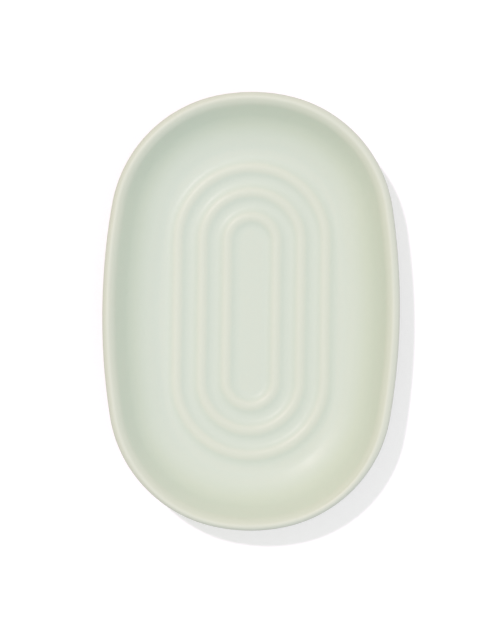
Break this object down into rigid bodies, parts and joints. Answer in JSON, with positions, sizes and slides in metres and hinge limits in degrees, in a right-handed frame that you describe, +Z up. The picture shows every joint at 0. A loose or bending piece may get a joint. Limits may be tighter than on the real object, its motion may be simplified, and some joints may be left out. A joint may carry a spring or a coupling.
{
  "type": "soap dish",
  "caption": "Shallow oval ceramic soap dish with a rounded lip, a curved bowl and concentric racetrack ridges that hold the bar above the water.",
  "frame": {"origin": "centre of the dish on the plane it stands on, under the foot ring", "axes": "+Z up out of the bowl, +Y along the dish's length, +X across its width"},
  "size_m": [0.095, 0.14, 0.02],
  "materials": {
    "fired_clay": "matte, bare stoneware",
    "celadon_glaze": "satin-matte pale sage glaze, cream where it thins over edges"
  },
  "bodies": {
    "root": {"clay_body": "fired_clay", "glaze_coat": "celadon_glaze", "base_glaze": "celadon_glaze"}
  },
  "joints": []
}
